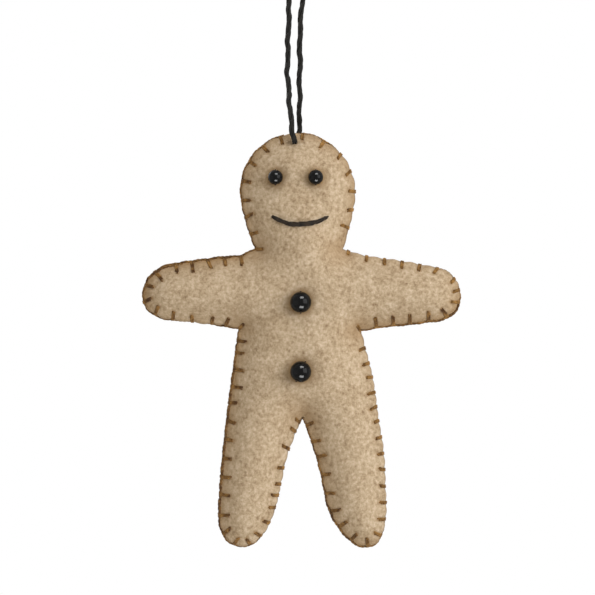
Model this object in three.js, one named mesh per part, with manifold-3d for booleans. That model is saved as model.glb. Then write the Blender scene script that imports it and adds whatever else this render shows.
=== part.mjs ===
// Felt gingerbread man ornament: two felt panels over fibre stuffing, joined by blanket stitch round
// the edge, with bead eyes and buttons, a thread mouth and a cord loop to hang it by.
// Millimetres, +Z up, the face looks along -Y, and the hang point inside the loop is the origin.
import * as THREE from 'three';
import { mergeVertices } from 'three/addons/utils/BufferGeometryUtils.js';
import Module from 'manifold-3d';

const wasm = await Module();
wasm.setup();

// Hanging
const hangDrop = 66; // from the hang point down to the top of the head
const figureShift = 0.9; // middle of the neck, to the right of the hang point

// Head and neck. From here on, places on the figure are measured from the middle of the neck
const headRadius = 15.5;
const headRise = 15.7; // centre of the head
const headShift = -0.3;
const cheekRise = 10; // height that the cheeks' curves pull towards
const neckHalfWidth = 11.8;

// Arms: how far to the side and how far down
const rightArm = {
  shoulderReach: 36.5,
  shoulderDrop: 5.1,
  handReach: 44,
  handDrop: 12.4,
  underarmReach: 36.5,
  underarmDrop: 19.4,
  pitReach: 16.7,
  pitDrop: 22.3,
};
const leftArm = {
  shoulderReach: 33.3,
  shoulderDrop: 4,
  handReach: 43.1,
  handDrop: 12.7,
  underarmReach: 33,
  underarmDrop: 19.5,
  pitReach: 16.3,
  pitDrop: 21.7,
};
const handRound = 0.62; // how full the ends of the arms are
const armBow = 0.6; // how far the curves of an arm's edges pull in

// Legs: how far to the side and how far down
const rightLeg = {
  hipReach: 19.7,
  hipDrop: 29.4,
  calfReach: 23.2,
  calfDrop: 49.7,
  ankleReach: 23.8,
  ankleDrop: 69,
  toeReach: 18.1,
  footDrop: 81.7,
  heelReach: 7.9,
  heelDrop: 69,
};
const leftLeg = {
  hipReach: 18.9,
  hipDrop: 37.4,
  calfReach: 21.6,
  calfDrop: 60.7,
  ankleReach: 21.9,
  ankleDrop: 71.7,
  toeReach: 15.2,
  footDrop: 81.6,
  heelReach: 6.6,
  heelDrop: 70.9,
};
const footRound = 0.68; // how full the outer side of a foot is
const heelRound = 0.4; // how full its inner side is
const heelFlare = 1.4; // how far the inner side swings out under the ankle
const legBow = 1.5; // how far the inner edge bows in towards the leg
const crotchShift = 0.9;
const crotchDrop = 46;

// Felt and stuffing
const feltThickness = 1.2;
const seamGap = 0.3; // between the two panels at the edge
const stuffedHeight = 7; // most that one panel can rise from the seam
const crownReach = 7; // how far in from the edge the panels level off
const stuffingGap = 0.8; // under the felt
const stuffingInset = 3.4; // from the felt's edge to the end of the stuffing
const limbInset = 2.2; // from the felt's edge to the side of a limb's tuft
const tuftSpacing = 4.5; // between the points of a tuft's faces
const torsoTop = -2;
const headBottom = 0.6;
const armOverlap = 7; // how far a limb's tuft runs in past the joint, where the torso cuts it
const legOverlap = 8;

// Blanket stitch
const seamThread = 0.55;
const stitchLength = 2.4;
const bightSlack = 0.1; // how far a bight stands outside the middle of the edge thread
const headStitches = 15;
const armStitches = 14;
const legStitches = 23;

// Beads
const eyeDiameter = 4.1;
const eyeBore = 1;
const eyeRise = 19.5;
const leftEyeReach = 6.5;
const rightEyeReach = 4.5;
const buttonDiameter = 5.8;
const buttonBore = 1.2;
const buttonShift = 0.4;
const upperButtonDrop = 14.6;
const lowerButtonDrop = 33.5;
const lowerButtonTurn = -25; // degrees from upright
const beadSink = 0.7; // how deep a bead sits in the felt
const beadThread = 0.4;
const threadKnot = 1.2;
const threadBend = 0.5; // corner of the thread where it turns into a bore or the felt

// Mouth
const mouthThread = 1.1;
const mouthKnot = 2.2;
const mouthHalfWidth = 7.7;
const mouthRise = 9;
const mouthSag = 2.2;
const mouthShift = 0.2;

// Cord
const cordDiameter = 1.5;
const cordHole = 2.3;
const cordHoleShift = -1.3;
const cordHoleDrop = 2; // from the top of the head
const cordStraight = 2.1; // straight run each side of the seam, through the felt
const cordBend = 3;
const frontLean = -0.65; // sideways, from the hole to the top of the bend
const backLean = 1.2;
const neckDrop = 49; // where the two strands part, under the hang point
const neckGap = 0.6;
const knotWidth = 5.6;
const knotDepth = 4.4;
const knotHeight = 5;
const tailLength = 8;
const tailSplay = 1.5;

// Fits
const seat = 0.3; // between pieces that touch
const holeClearance = 0.3;

const headTop = headRise + headRadius;

// Colours
const feltTan = '#c2ad8c';
const threadBlack = '#2b2924';
const threadBrown = '#7d5a2c';
const waddingWhite = '#e9e6df';
const beadBlack = '#161514';

// Solids
function toSolid(geometry) {
  const bare = geometry.clone();
  bare.deleteAttribute('normal');
  bare.deleteAttribute('uv');
  const merged = mergeVertices(bare, 1e-4);
  const mesh = new wasm.Mesh({
    numProp: 3,
    vertProperties: new Float32Array(merged.attributes.position.array),
    triVerts: new Uint32Array(merged.index.array),
  });
  return new wasm.Manifold(mesh);
}

function toGeometry(solid) {
  const mesh = solid.getMesh();
  const geometry = new THREE.BufferGeometry();
  geometry.setAttribute('position', new THREE.BufferAttribute(new Float32Array(mesh.vertProperties), 3));
  geometry.setIndex(new THREE.BufferAttribute(new Uint32Array(mesh.triVerts), 1));
  geometry.computeVertexNormals();
  return geometry;
}

function join(pieces) {
  return toGeometry(pieces.map(toSolid).reduce((whole, piece) => whole.add(piece)));
}

function cut(piece, tools) {
  return toGeometry(tools.map(toSolid).reduce((left, tool) => left.subtract(tool), toSolid(piece)));
}

function sweep(extrudePath, diameter, sides, steps) {
  const section = new THREE.Shape().absarc(0, 0, diameter / 2, 0, 2 * Math.PI);
  return new THREE.ExtrudeGeometry(section, { steps, extrudePath, curveSegments: sides / 2 });
}

// A tube along a smooth curve through the points
function tube(points, diameter, sides, steps) {
  return sweep(new THREE.CatmullRomCurve3(points, false, 'centripetal'), diameter, sides, steps);
}

// A path that turns at each of its points, so that a sweep along it has a section at every one
class BentPath extends THREE.Curve {
  constructor(points) {
    super();
    this.points = points;
  }

  getPoint(t) {
    const place = THREE.MathUtils.clamp(t, 0, 1) * (this.points.length - 1);
    const i = Math.min(Math.floor(place), this.points.length - 2);
    return this.points[i].clone().lerp(this.points[i + 1], place - i);
  }

  getPointAt(t) {
    return this.getPoint(t);
  }

  getTangentAt(t) {
    return this.getTangent(t);
  }
}

function bentTube(points, diameter, sides) {
  return sweep(new BentPath(points), diameter, sides, points.length - 1);
}

function ball(diameter, at) {
  return new THREE.SphereGeometry(diameter / 2, 14, 9).translate(at.x, at.y, at.z);
}

// A tool for a hole along Y
function drill(diameter, x, z, from, to) {
  const tool = new THREE.CylinderGeometry(diameter / 2, diameter / 2, to - from, 8);
  return tool.translate(x, (from + to) / 2, z);
}

// Outline in five stretches between the corners: x to the right and y up.
// The arms and legs run outwards and down from the neck, on the left as a mirror image
const crotch = new THREE.Vector2(crotchShift, -crotchDrop);

const cheekLeft = headShift - headRadius;
const cheekRight = headShift + headRadius;
const headEdge = new THREE.Path().moveTo(-neckHalfWidth, 0);
headEdge.quadraticCurveTo(cheekLeft, cheekRise, cheekLeft, headRise);
headEdge.absarc(headShift, headRise, headRadius, Math.PI, 0, true);
headEdge.quadraticCurveTo(cheekRight, cheekRise, neckHalfWidth, 0);

function armEdge(side, arm) {
  const { shoulderReach, shoulderDrop, handReach, handDrop } = arm;
  const { underarmReach, underarmDrop, pitReach, pitDrop } = arm;
  const fill = (from, to) => from + handRound * (to - from);
  const edge = new THREE.Path().moveTo(side * neckHalfWidth, 0);
  edge.quadraticCurveTo(
    (side * (neckHalfWidth + shoulderReach)) / 2, -shoulderDrop / 2 - armBow,
    side * shoulderReach, -shoulderDrop);
  edge.bezierCurveTo(
    side * fill(shoulderReach, handReach), -shoulderDrop,
    side * handReach, -fill(handDrop, shoulderDrop), side * handReach, -handDrop);
  edge.bezierCurveTo(
    side * handReach, -fill(handDrop, underarmDrop),
    side * fill(underarmReach, handReach), -underarmDrop, side * underarmReach, -underarmDrop);
  edge.quadraticCurveTo(
    (side * (underarmReach + pitReach)) / 2, -(underarmDrop + pitDrop) / 2 + armBow,
    side * pitReach, -pitDrop);
  return edge;
}

function legEdge(side, leg, arm) {
  const { hipReach, hipDrop, calfReach, calfDrop, ankleReach, ankleDrop } = leg;
  const { toeReach, footDrop, heelReach, heelDrop } = leg;
  const edge = new THREE.Path().moveTo(side * arm.pitReach, -arm.pitDrop);
  edge.bezierCurveTo(
    side * hipReach, -hipDrop, side * calfReach, -calfDrop, side * ankleReach, -ankleDrop);
  edge.bezierCurveTo(
    side * ankleReach, -ankleDrop - footRound * (footDrop - ankleDrop),
    side * (toeReach + footRound * (ankleReach - toeReach)), -footDrop, side * toeReach, -footDrop);
  edge.bezierCurveTo(
    side * (toeReach - heelRound * (toeReach - heelReach)), -footDrop,
    side * (heelReach + heelFlare), -heelDrop - heelRound * (footDrop - heelDrop),
    side * heelReach, -heelDrop);
  edge.quadraticCurveTo(
    (side * heelReach + crotch.x) / 2 + side * legBow, (crotch.y - heelDrop) / 2, crotch.x, crotch.y);
  return edge;
}

const runs = [
  { edge: headEdge, stitches: headStitches, backwards: false },
  { edge: armEdge(1, rightArm), stitches: armStitches, backwards: false },
  { edge: legEdge(1, rightLeg, rightArm), stitches: legStitches, backwards: false },
  { edge: legEdge(-1, leftLeg, leftArm), stitches: legStitches, backwards: true },
  { edge: armEdge(-1, leftArm), stitches: armStitches, backwards: true },
];

// Points clockwise round the whole edge from the left of the neck, the same number to every stitch
function edgePoints(perStitch) {
  return runs.flatMap(({ edge, stitches, backwards }) => {
    const points = edge.getSpacedPoints(stitches * perStitch);
    if (backwards) points.reverse();
    return points.slice(0, -1);
  });
}

const fineEdge = edgePoints(6);
const fineSteps = fineEdge.map((p, i) => p.distanceTo(fineEdge[(i + 1) % fineEdge.length]));

function isInside(loop, x, y) {
  let inside = false;
  loop.forEach((a, i) => {
    const b = loop[(i + 1) % loop.length];
    if (a.y > y !== b.y > y && x < a.x + ((y - a.y) * (b.x - a.x)) / (b.y - a.y)) inside = !inside;
  });
  return inside;
}

// Distance in from the edge, smoothed so that the felt crowns without a ridge along the limbs
function insideDepth(x, y) {
  const pull = fineEdge.reduce((sum, p, i) => sum + fineSteps[i] / Math.hypot(p.x - x, p.y - y) ** 3, 0);
  return Math.sqrt(2 / pull);
}

// Rise of a panel's inner face and of its outer face from the middle of the seam
function innerFace(x, y) {
  return seamGap / 2 + stuffedHeight * (1 - Math.exp(-insideDepth(x, y) / crownReach));
}

function outerFace(x, y) {
  return innerFace(x, y) + feltThickness;
}

// Even triangles between points: each new point replaces the triangles whose circle holds it.
// The points are shaken a little first, so that no four of them lie on one circle
function circled(points, a, b, c) {
  const ab = new THREE.Vector2().subVectors(points[b], points[a]);
  const ac = new THREE.Vector2().subVectors(points[c], points[a]);
  const twice = 2 * ab.cross(ac);
  const x = (ac.y * ab.lengthSq() - ab.y * ac.lengthSq()) / twice;
  const y = (ab.x * ac.lengthSq() - ac.x * ab.lengthSq()) / twice;
  return { corners: [a, b, c], x: points[a].x + x, y: points[a].y + y, reach: Math.hypot(x, y) };
}

function triangulate(points) {
  const far = 1e4;
  const shake = 1e-3;
  const count = points.length;
  const outside = [new THREE.Vector2(-far, -far), new THREE.Vector2(far, -far), new THREE.Vector2(0, far)];
  const shaken = points.map((p, i) => new THREE.Vector2(Math.sin(i * i), Math.cos(3 * i * i)));
  shaken.forEach((p, i) => p.multiplyScalar(shake).add(points[i]));
  const all = [...shaken, ...outside];
  let triangles = [circled(all, count, count + 1, count + 2)];
  shaken.forEach((p, i) => {
    const open = new Map();
    const kept = [];
    for (const triangle of triangles) {
      if (Math.hypot(triangle.x - p.x, triangle.y - p.y) >= triangle.reach) {
        kept.push(triangle);
        continue;
      }
      const [a, b, c] = triangle.corners;
      for (const [from, to] of [[a, b], [b, c], [c, a]]) {
        if (!open.delete(`${to} ${from}`)) open.set(`${from} ${to}`, [from, to]);
      }
    }
    const filled = [...open.values()].map(([from, to]) => circled(all, from, to, i));
    triangles = kept.concat(filled);
  });
  return triangles.map((triangle) => triangle.corners).filter((corners) => Math.max(...corners) < count);
}

// Points over an outline: its edge, rings inside it, then an even fill
function spread(loop, rings, spacing) {
  const points = [...loop];
  const add = (x, y, room) => {
    const clear = points.every((p) => Math.hypot(p.x - x, p.y - y) > room);
    if (clear && isInside(loop, x, y)) points.push(new THREE.Vector2(x, y));
  };
  for (const ring of rings) {
    loop.forEach((p, i) => {
      const before = loop[(i + loop.length - 1) % loop.length];
      const after = loop[(i + 1) % loop.length];
      const along = new THREE.Vector2().subVectors(after, before).normalize();
      add(p.x + along.y * ring, p.y - along.x * ring, ring * 0.8);
    });
  }
  const box = new THREE.Box2().setFromPoints(loop);
  const rowStep = spacing * Math.sqrt(0.75);
  const rows = Math.floor((box.max.y - box.min.y) / rowStep);
  for (let row = 1; row <= rows; row += 1) {
    for (let x = box.min.x + ((row % 2) * spacing) / 2; x < box.max.x; x += spacing) {
      add(x, box.min.y + row * rowStep, spacing * 0.62);
    }
  }
  return points;
}

// A closed solid over a clockwise outline, between a front and a back face
function quilted(loop, rings, spacing, front, back) {
  const points = spread(loop, rings, spacing);
  const count = points.length;
  const faces = triangulate(points).filter((corners) => {
    const [a, b, c] = corners.map((corner) => points[corner]);
    return isInside(loop, (a.x + b.x + c.x) / 3, (a.y + b.y + c.y) / 3);
  });
  const sides = new Set(faces.flatMap(([a, b, c]) => [`${a} ${b}`, `${b} ${c}`, `${c} ${a}`]));
  const index = faces.flatMap(([a, b, c]) => [a, b, c, c + count, b + count, a + count]);
  for (const side of sides) {
    const [a, b] = side.split(' ').map(Number);
    if (!sides.has(`${b} ${a}`)) index.push(b, a, a + count, b, a + count, b + count);
  }
  const position = [front, back].flatMap((face) => points.flatMap((p) => [p.x, face(p.x, p.y), p.y]));
  const geometry = new THREE.BufferGeometry();
  geometry.setAttribute('position', new THREE.Float32BufferAttribute(position, 3));
  geometry.setIndex(index);
  return geometry;
}

const part = new THREE.Group();
part.name = 'felt_ornament';
const figure = new THREE.Group();
figure.name = 'figure';
figure.position.set(figureShift, 0, -hangDrop - headTop);
part.add(figure);

function addPiece(group, name, geometry, color, roughness) {
  const mesh = new THREE.Mesh(geometry, new THREE.MeshStandardMaterial({ color, roughness, metalness: 0 }));
  mesh.name = name;
  group.add(mesh);
}

// What the beads, the mouth and the cord cut from the felt and from the stuffing
const panelTools = [];
const stuffingTools = [];

// Beads, each turning on a thread that goes through the front panel and is knotted inside
function beadBody(diameter, bore) {
  const radius = diameter / 2;
  const start = Math.asin(bore / diameter);
  const steps = 8;
  const profile = [];
  for (let i = 0; i <= steps; i += 1) {
    const angle = start + (Math.PI - 2 * start) * (i / steps);
    profile.push(new THREE.Vector2(radius * Math.sin(angle), -radius * Math.cos(angle)));
  }
  profile.push(profile[0].clone());
  return new THREE.LatheGeometry(profile, 16).rotateX(Math.PI / 2);
}

function addBead(name, x, z, diameter, bore, turnDegrees) {
  const turn = THREE.MathUtils.degToRad(turnDegrees);
  const out = -(outerFace(x, z) + diameter / 2 - beadSink);
  const at = (along, y) => new THREE.Vector3(x - Math.sin(turn) * along, y, z + Math.cos(turn) * along);
  const body = beadBody(diameter, bore).rotateY(-turn).translate(x, out, z);
  addPiece(figure, `${name}_bead`, body, beadBlack, 0.12);

  const step = diameter / 2 + seat + beadThread / 2;
  const ends = [at(step, 0), at(-step, 0)];
  const shallow = Math.min(...ends.map((end) => innerFace(end.x, end.z)));
  const inside = -shallow + 2 * seat + beadThread / 2;
  const half = (side) => [
    at(side * (step - threadBend), inside), at(side * step, inside - threadBend),
    at(side * step, out + threadBend), at(side * (step - threadBend), out),
  ];
  const loop = [at(0, inside), ...half(1), at(0, out), ...half(-1).reverse(), at(0, inside)];
  const knot = ball(threadKnot, at(0, inside + threadKnot / 2));
  addPiece(figure, `${name}_thread`, join([bentTube(loop, beadThread, 6), knot]), threadBlack, 0.9);

  panelTools.push(ball(diameter + 2 * seat, at(0, out)));
  for (const end of ends) panelTools.push(drill(beadThread + 2 * holeClearance, end.x, end.z, out, inside));
  const pocket = new THREE.CapsuleGeometry(threadKnot + seat / 2, 2 * step, 2, 8);
  stuffingTools.push(pocket.rotateX(Math.PI / 2).rotateY(-turn).translate(x, inside + seat, z));
}

addBead('left_eye', -leftEyeReach, eyeRise, eyeDiameter, eyeBore, 0);
addBead('right_eye', rightEyeReach, eyeRise, eyeDiameter, eyeBore, 0);
addBead('upper_button', buttonShift, -upperButtonDrop, buttonDiameter, buttonBore, 0);
addBead('lower_button', buttonShift, -lowerButtonDrop, buttonDiameter, buttonBore, lowerButtonTurn);

// Mouth, one thread laid on the felt with both ends taken through and knotted
function mouthAt(share) {
  const x = mouthShift + mouthHalfWidth * share;
  const z = mouthRise - mouthSag * (1 - share * share);
  return new THREE.Vector3(x, -(outerFace(x, z) + seat + mouthThread / 2), z);
}

const mouthLine = [-1, -0.8, -0.4, 0, 0.4, 0.8, 1].map(mouthAt);
const mouthEnds = [mouthLine[0], mouthLine.at(-1)].map((end) => {
  return end.clone().setY(-innerFace(end.x, end.z) + seat + mouthThread / 2);
});
const mouthTube = bentTube([mouthEnds[0], ...mouthLine, mouthEnds[1]], mouthThread, 8);
const mouthKnots = mouthEnds.map((end) => ball(mouthKnot, end));
addPiece(figure, 'mouth_thread', join([mouthTube, ...mouthKnots]), threadBlack, 0.9);
for (const end of mouthEnds) {
  const out = -outerFace(end.x, end.z) - seat;
  panelTools.push(drill(mouthThread + 2 * holeClearance, end.x, end.z, out, end.y));
  panelTools.push(ball(mouthKnot + 2 * seat, end));
  stuffingTools.push(ball(mouthKnot + 2 * seat, end));
}

// Felt panels
const reach = stuffedHeight + feltThickness + seamGap;
const cordDrill = drill(cordHole, cordHoleShift, headTop - cordHoleDrop, -reach, reach);
const panelLoop = edgePoints(2);
const panelRings = [2, 4.2];
const panelSpacing = 4.4;
const frontPanel = quilted(
  panelLoop, panelRings, panelSpacing, (x, z) => -outerFace(x, z), (x, z) => -innerFace(x, z));
const backPanel = quilted(panelLoop, panelRings, panelSpacing, innerFace, outerFace);
addPiece(figure, 'front_panel', cut(frontPanel, [...panelTools, cordDrill]), feltTan, 0.95);
addPiece(figure, 'back_panel', cut(backPanel, [cordDrill]), feltTan, 0.95);

// Stuffing: a tuft for the torso, then the head's and the limbs' tufts cut back to it
function tuft(from, to, halfWidth, gap) {
  const middle = new THREE.Vector2().addVectors(from, to).divideScalar(2);
  const along = new THREE.Vector2().subVectors(to, from);
  const halfLength = along.length() / 2;
  const round = new THREE.EllipseCurve(
    middle.x, middle.y, halfLength + gap, halfWidth + gap, 0, 2 * Math.PI, true, along.angle());
  const face = (x, y) => innerFace(x, y) - stuffingGap + gap;
  return quilted(round.getPoints(28).slice(0, -1), [], tuftSpacing, (x, y) => -face(x, y), face);
}

function torsoTuft(gap) {
  const top = new THREE.Vector2(0, torsoTop);
  const bottom = new THREE.Vector2(0, -crotchDrop + stuffingInset);
  return tuft(top, bottom, Math.min(rightArm.pitReach, leftArm.pitReach) - stuffingInset, gap);
}

function headTuft() {
  const bottom = new THREE.Vector2(headShift, headBottom);
  return tuft(bottom, new THREE.Vector2(headShift, headTop - stuffingInset), headRadius - stuffingInset, 0);
}

function armTuft(side, arm) {
  const root = new THREE.Vector2(side * (arm.pitReach - armOverlap), -arm.handDrop);
  const tip = new THREE.Vector2(side * (arm.handReach - stuffingInset), -arm.handDrop);
  return tuft(root, tip, (arm.underarmDrop - arm.shoulderDrop) / 2 - limbInset, 0);
}

function legTuft(side, leg, arm) {
  const root = new THREE.Vector2((side * arm.pitReach + crotchShift) / 2, -crotchDrop + legOverlap);
  const tip = new THREE.Vector2((side * (leg.ankleReach + leg.heelReach)) / 2, -leg.footDrop + stuffingInset);
  return tuft(root, tip, (leg.ankleReach - leg.heelReach) / 2 - limbInset, 0);
}

const torsoCutter = torsoTuft(seat);
function addTuft(name, body, tools) {
  addPiece(figure, `${name}_stuffing`, cut(body, tools), waddingWhite, 1);
}

addTuft('torso', torsoTuft(0), stuffingTools);
addTuft('head', headTuft(), [...stuffingTools, torsoCutter]);
addTuft('left_arm', armTuft(-1, leftArm), [torsoCutter]);
addTuft('right_arm', armTuft(1, rightArm), [torsoCutter]);
addTuft('left_leg', legTuft(-1, leftLeg, leftArm), [torsoCutter]);
addTuft('right_leg', legTuft(1, rightLeg, rightArm), [torsoCutter]);

// Blanket stitch: a thread along the edge, with a bight over it from front to back at every stitch
const quarters = 4;
const stitchLoop = edgePoints(quarters);
const threadLift = seat + seamThread / 2;

// A place on the edge, with the way in, and how much farther out a thread lies to clear a notch
function stitchPlace(i) {
  const n = stitchLoop.length;
  const before = stitchLoop[(i - 1 + n) % n];
  const p = stitchLoop[i % n];
  const after = stitchLoop[(i + 1) % n];
  const along = new THREE.Vector2().subVectors(after, before).normalize();
  const arriving = new THREE.Vector2().subVectors(p, before).normalize();
  return { p, inward: new THREE.Vector2(along.y, -along.x), notch: 1 / arriving.dot(along) };
}

function bight(stitch) {
  const { p, inward, notch } = stitchPlace(stitch * quarters);
  const spot = (depth, y) => new THREE.Vector3(p.x + inward.x * depth, y, p.y + inward.y * depth);
  const rise = (depth) => outerFace(spot(depth, 0).x, spot(depth, 0).z) + threadLift;
  const edgeDepth = -threadLift * notch - bightSlack;
  const edgeRise = seamGap / 2 + feltThickness;
  const half = stitchLength / 2;
  const overHalf = edgeRise + ((rise(half) - edgeRise) * (stitchLength - edgeDepth)) / (half - edgeDepth);
  const footRise = Math.max(rise(stitchLength), overHalf);
  const front = [spot(stitchLength, -footRise), spot(edgeDepth, -edgeRise)];
  const back = [spot(edgeDepth, edgeRise), spot(stitchLength, footRise)];
  return bentTube([...front, ...back], seamThread, 3);
}

function edgeThread(first, last) {
  const places = [first * quarters];
  for (let i = Math.ceil(first * 2 + 0.1) * 2; i < last * quarters; i += 2) places.push(i);
  places.push(last * quarters);
  const points = places.map((i) => {
    const { p, inward, notch } = stitchPlace(i);
    const out = threadLift * notch;
    return new THREE.Vector3(p.x - inward.x * out, 0, p.y - inward.y * out);
  });
  return bentTube(points, seamThread, 3);
}

// One length of thread past the given stitch numbers, which are the corners that it turns
function seam(corners) {
  const pieces = [];
  for (let i = 1; i < corners.length; i += 1) pieces.push(edgeThread(corners[i - 1], corners[i]));
  const last = Math.floor(corners.at(-1));
  for (let i = Math.ceil(corners[0]); i <= last; i += 1) pieces.push(bight(i));
  return join(pieces);
}

const overrun = 1 / quarters; // of a stitch, past the first and the last bight
const rightTop = Math.ceil(headStitches / 2);
const rightPit = headStitches + armStitches;
const crotchStitch = rightPit + legStitches;
const leftPit = crotchStitch + legStitches;
const leftNeck = leftPit + armStitches;
const rightSeam = seam([rightTop - overrun, headStitches, rightPit, crotchStitch]);
const leftSeam = seam([crotchStitch + 1 - overrun, leftPit, leftNeck, leftNeck + rightTop - 1 + overrun]);
addPiece(figure, 'right_seam_thread', rightSeam, threadBrown, 0.85);
addPiece(figure, 'left_seam_thread', leftSeam, threadBrown, 0.85);

// Cord: a lower length through the head, two upper lengths, and the knot that closes the loop
const holeX = figureShift + cordHoleShift;
const holeZ = -hangDrop - cordHoleDrop;
const diagonal = cordBend * Math.SQRT1_2;
const leanShare = 1 - Math.SQRT1_2; // of a strand's lean, at the middle of the bend
function turnUp(side, lean) {
  return [
    new THREE.Vector3(holeX, side * cordStraight, holeZ),
    new THREE.Vector3(
      holeX + lean * leanShare,
      side * (cordStraight + diagonal),
      holeZ + cordBend - diagonal,
    ),
    new THREE.Vector3(holeX + lean, side * (cordStraight + cordBend), holeZ + cordBend),
  ];
}

const lowerStart = -neckDrop - neckGap / 2;
const frontStrand = [
  new THREE.Vector3(-2.3, 0, lowerStart),
  new THREE.Vector3(-2.1, -0.7, -52),
  new THREE.Vector3(-1.85, -2.1, -55.5),
  new THREE.Vector3(-1.65, -3.7, -59),
  new THREE.Vector3(-1.3, -4.8, -62.4),
];
const backStrand = [
  new THREE.Vector3(0.9, 4.8, -62.4),
  new THREE.Vector3(0.95, 3.7, -59),
  new THREE.Vector3(1, 2.1, -55.5),
  new THREE.Vector3(1, 0.7, -52),
  new THREE.Vector3(1, 0, lowerStart),
];
const lowerRoute = [
  ...frontStrand,
  ...turnUp(-1, frontLean).reverse(),
  ...turnUp(1, backLean),
  ...backStrand,
];
addPiece(part, 'cord_lower', tube(lowerRoute, cordDiameter, 8, 34), threadBlack, 0.85);

const upperStart = -neckDrop + neckGap / 2;
const leftRoute = [
  new THREE.Vector3(-2.3, 0, upperStart),
  new THREE.Vector3(-2.3, 0, -45),
  new THREE.Vector3(-2.1, 0, -37),
  new THREE.Vector3(-1.9, 0, -29),
  new THREE.Vector3(-2.4, 0, -23),
  new THREE.Vector3(-3.6, 0, -16),
  new THREE.Vector3(-3.9, 0, -10),
  new THREE.Vector3(-2.6, 0, -4.5),
  new THREE.Vector3(-0.95, 0, 0),
];
const rightRoute = [
  new THREE.Vector3(1, 0, upperStart),
  new THREE.Vector3(1.1, 0, -45),
  new THREE.Vector3(1.1, 0, -37),
  new THREE.Vector3(1.8, 0, -29),
  new THREE.Vector3(2.6, 0, -23),
  new THREE.Vector3(3.7, 0, -16),
  new THREE.Vector3(3.9, 0, -10),
  new THREE.Vector3(2.6, 0, -4.5),
  new THREE.Vector3(0.95, 0, 0),
];
addPiece(part, 'cord_upper_left', tube(leftRoute, cordDiameter, 8, 18), threadBlack, 0.85);
addPiece(part, 'cord_upper_right', tube(rightRoute, cordDiameter, 8, 18), threadBlack, 0.85);

const knotMiddle = seat + cordDiameter / 2 + knotHeight / 2;
const knotTop = knotMiddle + knotHeight / 2;
const knotBody = new THREE.SphereGeometry(0.5, 16, 10).scale(knotWidth, knotDepth, knotHeight);
function tail(side) {
  const start = (side * cordDiameter) / 2;
  return bentTube([
    new THREE.Vector3(start, 0, knotMiddle),
    new THREE.Vector3(start, 0, knotTop),
    new THREE.Vector3(start + side * tailSplay, 0, knotTop + tailLength),
  ], cordDiameter, 8);
}
const knot = join([knotBody.translate(0, 0, knotMiddle), tail(-1), tail(1)]);
addPiece(part, 'cord_knot', knot, threadBlack, 0.85);

export default part;
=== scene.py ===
# Felt gingerbread man ornament: the finish of every piece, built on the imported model
import math

import bmesh
import bpy
import numpy as np
from mathutils import Matrix, Vector, geometry, kdtree, noise
from mathutils.bvhtree import BVHTree


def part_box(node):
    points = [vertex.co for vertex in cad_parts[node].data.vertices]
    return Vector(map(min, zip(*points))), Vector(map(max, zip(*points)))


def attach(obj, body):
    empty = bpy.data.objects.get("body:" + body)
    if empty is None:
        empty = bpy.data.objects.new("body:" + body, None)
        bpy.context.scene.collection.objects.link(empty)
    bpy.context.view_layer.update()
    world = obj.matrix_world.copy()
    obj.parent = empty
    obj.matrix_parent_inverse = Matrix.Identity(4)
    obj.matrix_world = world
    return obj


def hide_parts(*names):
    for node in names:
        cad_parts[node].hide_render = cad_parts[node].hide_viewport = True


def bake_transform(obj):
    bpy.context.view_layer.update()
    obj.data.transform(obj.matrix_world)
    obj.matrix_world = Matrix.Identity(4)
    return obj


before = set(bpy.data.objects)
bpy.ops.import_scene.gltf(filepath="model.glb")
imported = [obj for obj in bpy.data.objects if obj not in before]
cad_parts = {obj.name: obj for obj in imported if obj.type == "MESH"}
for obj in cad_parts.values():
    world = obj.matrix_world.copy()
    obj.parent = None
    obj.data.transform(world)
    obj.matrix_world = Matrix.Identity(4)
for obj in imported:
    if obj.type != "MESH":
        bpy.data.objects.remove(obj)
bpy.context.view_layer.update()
mm = 0.001  # everything is worked out in millimetres and scaled at the end
chance = np.random.default_rng(11)
anyTurn = (0, 6.28)  # range of a random phase
print("frame:", len(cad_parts), "nodes")

scene = bpy.context.scene
scene.view_settings.view_transform = "Standard"


# Camera, lights and floor

cameraSet = {"aim": (0.42, 0, -110.5), "distance": 900, "span": 163.45, "sensor": 36}
lampSet = {
    # place and side lengths in mm, and watts; the last two only put glints on the beads
    "key": {"at": (560, -480, 40), "size": (600, 600), "watts": 4.3, "glintOnly": False},
    "fill": {"at": (-560, -440, -180), "size": (600, 600), "watts": 0.4, "glintOnly": False},
    "top": {"at": (60, -330, 420), "size": (130, 90), "watts": 0.6, "glintOnly": False},
    "back": {"at": (-420, 620, 160), "size": (600, 600), "watts": 4.2, "glintOnly": False},
    "high": {"at": (110, -330, 330), "size": (340, 220), "watts": 5.5, "glintOnly": True},
    "low": {"at": (70, -300, -520), "size": (340, 220), "watts": 6.5, "glintOnly": True},
}
stageSet = {
    "ambient": 0.39, "ambientColour": "#fff7ea",
    "floorDrop": -620, "floorReach": 1100, "floorSides": 96,
    "floorColour": "#f1f0ed", "floorRough": 0.9, "floorWhite": 0.75,
}


def linear(colour):
    # sRGB hex to linear
    parts = [int(colour[i:i + 2], 16) / 255 for i in (1, 3, 5)]
    return tuple(c / 12.92 if c <= 0.04045 else ((c + 0.055) / 1.055) ** 2.4 for c in parts) + (1.0,)


def addNode(tree, kind, settings, links=()):
    node = tree.nodes.new(kind)
    for key, value in settings.items():
        if isinstance(key, int) or key in node.inputs:
            node.inputs[key].default_value = value
        else:
            setattr(node, key, value)
    for socket, source in links:
        tree.links.new(source, node.inputs[socket])
    return node


def newObject(name, bm):
    mesh = bpy.data.meshes.new(name)
    bm.to_mesh(mesh)
    bm.free()
    mesh.polygons.foreach_set("use_smooth", [True] * len(mesh.polygons))
    piece = bpy.data.objects.new(name, mesh)
    scene.collection.objects.link(piece)
    return piece


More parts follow.
